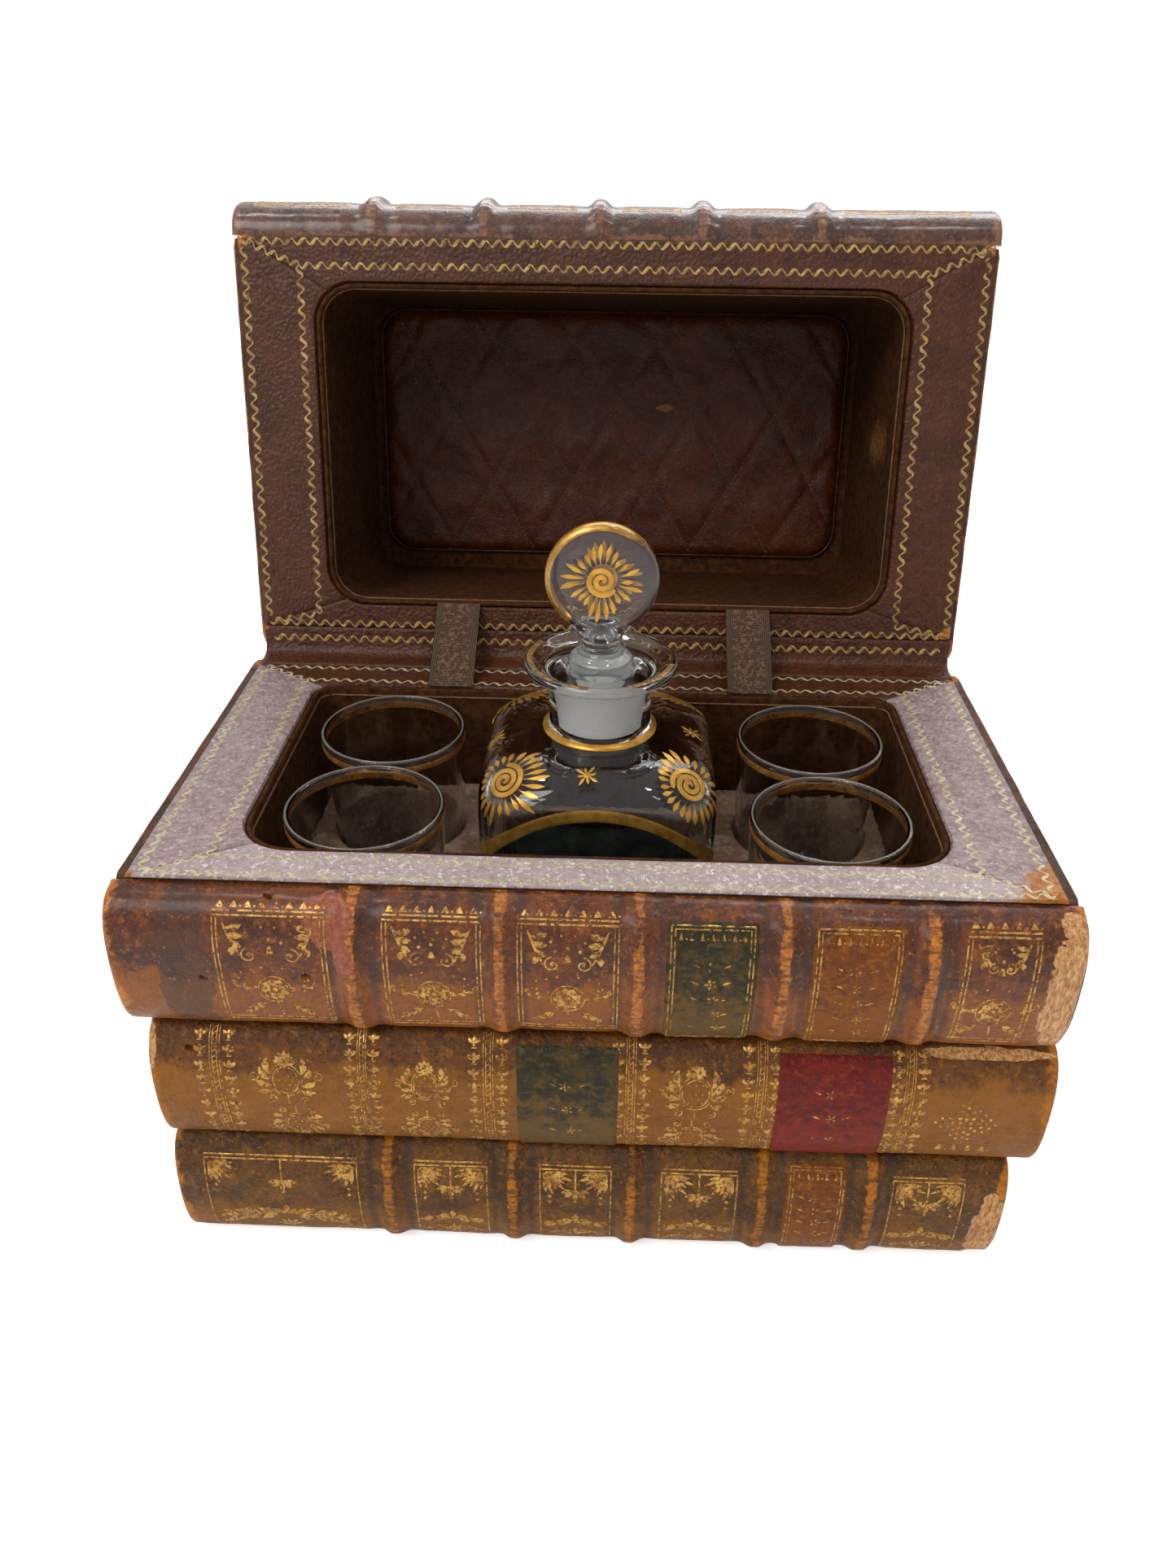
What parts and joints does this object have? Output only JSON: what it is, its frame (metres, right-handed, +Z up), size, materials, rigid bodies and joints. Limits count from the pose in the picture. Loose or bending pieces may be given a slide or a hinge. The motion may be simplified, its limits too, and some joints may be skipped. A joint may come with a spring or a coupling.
{
  "type": "tantalus",
  "caption": "Spirit case in the form of stacked old leather books: hinged lid, quilted lining, square glass decanter with disc stopper and small tumblers in a fitted insert.",
  "frame": {"origin": "centre of the underside of the bottom board", "axes": "+Z up, -Y out of the spines at the front, +X to the right seen from the front"},
  "size_m": [0.239, 0.2535, 0.2607],
  "materials": {
    "tooled_leather": "satin",
    "brown_calf": "satin",
    "tan_calf": "satin",
    "dark_calf": "satin",
    "board_leather": "satin",
    "page_edges": "matte",
    "endband_thread": "matte",
    "green_label": "satin",
    "tan_label": "satin",
    "red_label": "satin",
    "suede": "matte",
    "insert_leather": "satin",
    "quilted_leather": "satin",
    "ribbon": "matte",
    "glass": "clear"
  },
  "bodies": {
    "case": {"base_rim_front": "tooled_leather", "base_rim_back": "tooled_leather", "base_rim_left": "tooled_leather", "base_rim_right": "tooled_leather", "case_liner": "suede", "glass_insert": "insert_leather", "hinge_leather": "tooled_leather", "ribbon_stay_left": "ribbon", "ribbon_stay_right": "ribbon", "volume_1_spine": "dark_calf", "volume_1_upper_board": "board_leather", "volume_1_lower_board": "board_leather", "volume_1_pages": "page_edges", "volume_1_left_endband": "endband_thread", "volume_1_right_endband": "endband_thread", "volume_1_label": "tan_label", "volume_2_spine": "tan_calf", "volume_2_upper_board": "board_leather", "volume_2_lower_board": "board_leather", "volume_2_pages": "page_edges", "volume_2_left_endband": "endband_thread", "volume_2_right_endband": "endband_thread", "volume_2_green_label": "green_label", "volume_2_red_label": "red_label", "volume_3_spine": "brown_calf", "volume_3_upper_board": "board_leather", "volume_3_lower_board": "board_leather", "volume_3_pages": "page_edges", "volume_3_left_endband": "endband_thread", "volume_3_right_endband": "endband_thread", "volume_3_green_label": "green_label", "volume_3_tan_label": "tan_label"},
    "lid": {"lid_rim_front": "tooled_leather", "lid_rim_back": "tooled_leather", "lid_rim_left": "tooled_leather", "lid_rim_right": "tooled_leather", "lid_liner": "suede", "quilted_pad": "quilted_leather", "volume_4_spine": "brown_calf", "volume_4_upper_board": "board_leather", "volume_4_lower_board": "board_leather", "volume_4_pages": "page_edges", "volume_4_left_endband": "endband_thread", "volume_4_right_endband": "endband_thread", "volume_5_spine": "dark_calf", "volume_5_upper_board": "board_leather", "volume_5_lower_board": "board_leather", "volume_5_pages": "page_edges", "volume_5_left_endband": "endband_thread", "volume_5_right_endband": "endband_thread"},
    "decanter": {"decanter": "glass"},
    "stopper": {"stopper": "glass"},
    "tumbler_front_left": {"tumbler_front_left": "glass"},
    "tumbler_front_right": {"tumbler_front_right": "glass"},
    "tumbler_back_left": {"tumbler_back_left": "glass"},
    "tumbler_back_right": {"tumbler_back_right": "glass"}
  },
  "joints": [
    {"name": "lid_hinge", "type": "hinge", "parent": "case", "child": "lid", "pos_m": [0, 0.0655, 0.1252], "axis": [-1, 0, 0], "range_deg": [-102.6, 0], "deforming": ["hinge_leather", "ribbon_stay_left", "ribbon_stay_right"]},
    {"name": "decanter_lift", "type": "slide", "parent": "case", "child": "decanter", "axis": [0, 0, 1], "range_m": [0, 0.15]},
    {"name": "stopper_lift", "type": "slide", "parent": "decanter", "child": "stopper", "axis": [0, 0, 1], "range_m": [0, 0.05]},
    {"name": "tumbler_front_left_lift", "type": "slide", "parent": "case", "child": "tumbler_front_left", "axis": [0, 0, 1], "range_m": [0, 0.12]},
    {"name": "tumbler_front_right_lift", "type": "slide", "parent": "case", "child": "tumbler_front_right", "axis": [0, 0, 1], "range_m": [0, 0.12]},
    {"name": "tumbler_back_left_lift", "type": "slide", "parent": "case", "child": "tumbler_back_left", "axis": [0, 0, 1], "range_m": [0, 0.12]},
    {"name": "tumbler_back_right_lift", "type": "slide", "parent": "case", "child": "tumbler_back_right", "axis": [0, 0, 1], "range_m": [0, 0.12]}
  ]
}
